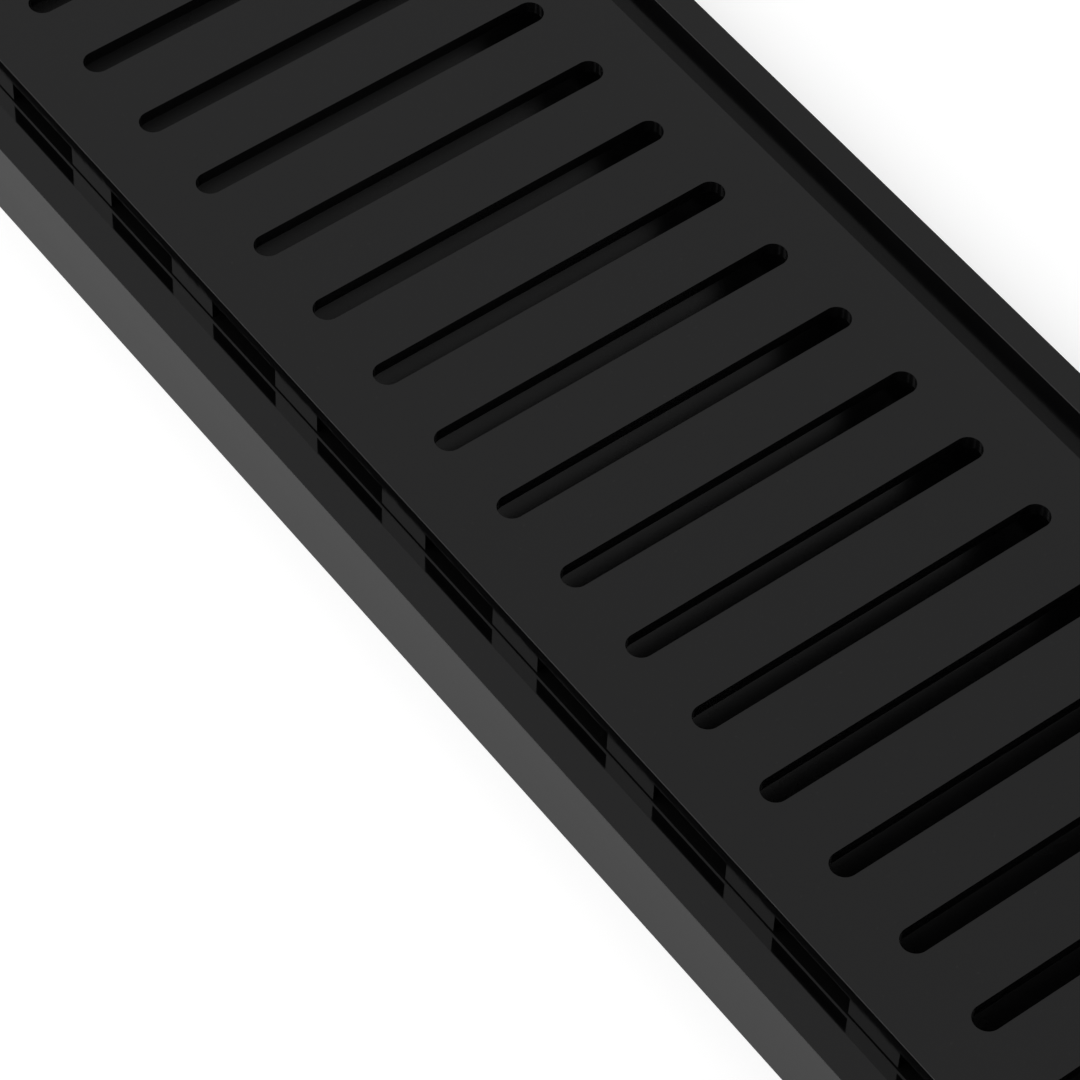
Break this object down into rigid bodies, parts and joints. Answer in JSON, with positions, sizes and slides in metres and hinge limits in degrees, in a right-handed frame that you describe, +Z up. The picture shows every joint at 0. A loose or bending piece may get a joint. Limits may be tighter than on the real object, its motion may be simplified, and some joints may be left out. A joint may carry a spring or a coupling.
{
  "type": "channel drain",
  "caption": "Shallow linear channel drain with a flat rim, inner ledges, a floor outlet and a lift-out grate with round-ended cross slots.",
  "frame": {"origin": "middle of the base, on the surface that the drain lies on", "axes": "+X along the channel, +Y across it, +Z up out of the grate"},
  "size_m": [0.4, 0.069, 0.0096],
  "materials": {
    "coated_channel": "gloss black coating on extruded aluminium",
    "coated_grate": "gloss black coating on extruded and milled aluminium",
    "coated_cap": "gloss black coating on cast aluminium",
    "strainer": "gloss black coating on punched sheet",
    "gasket": "matt black rubber",
    "screw": "black oxide steel",
    "cushion": "black rubber strip"
  },
  "bodies": {
    "root": {"channel": "coated_channel", "grate": "coated_grate", "strainer": "strainer", "cushion_strip_back": "cushion", "cushion_strip_front": "cushion", "end_cap_left": "coated_cap", "end_cap_right": "coated_cap", "end_gasket_left": "gasket", "end_gasket_right": "gasket", "cap_screw_left_front": "screw", "cap_screw_left_back": "screw", "cap_screw_right_front": "screw", "cap_screw_right_back": "screw"}
  },
  "joints": []
}
